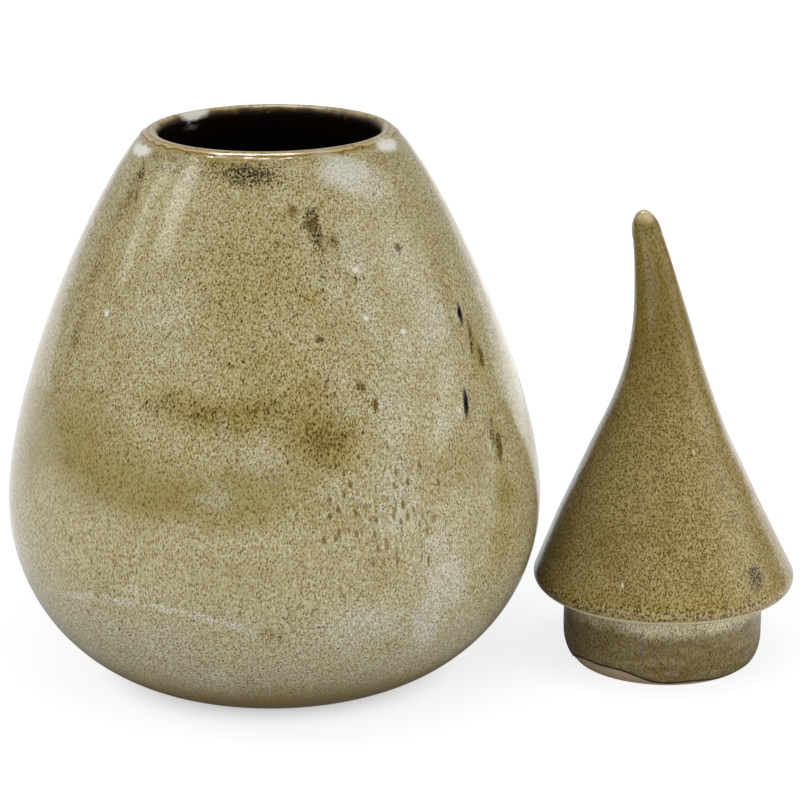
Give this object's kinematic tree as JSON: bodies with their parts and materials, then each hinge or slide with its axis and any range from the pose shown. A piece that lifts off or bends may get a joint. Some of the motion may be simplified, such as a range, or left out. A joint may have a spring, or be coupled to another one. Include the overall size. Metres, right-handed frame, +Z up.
{
  "type": "canister jar",
  "caption": "Egg-shaped glazed stoneware canister jar with a rounded lip, and a hollow horn-shaped lid whose plug drops into the mouth.",
  "frame": {"origin": "on the table, at the centre of the ground that the jar and the lid beside it cover", "axes": "+X from the jar towards the lid, +Y away from the viewer, +Z up"},
  "size_m": [0.2968, 0.2, 0.2072],
  "materials": {
    "jar_glaze": "glossy speckled olive-tan glaze with brown clouds",
    "lid_glaze": "glossy, evenly speckled olive-brown glaze"
  },
  "bodies": {
    "jar": {"jar_body": "jar_glaze"},
    "lid": {"lid": "lid_glaze"}
  },
  "joints": [
    {"name": "lid_lift", "type": "slide", "parent": "jar", "child": "lid", "axis": [0.1736, 0, 0.9848], "range_m": [0, 0.225]}
  ]
}
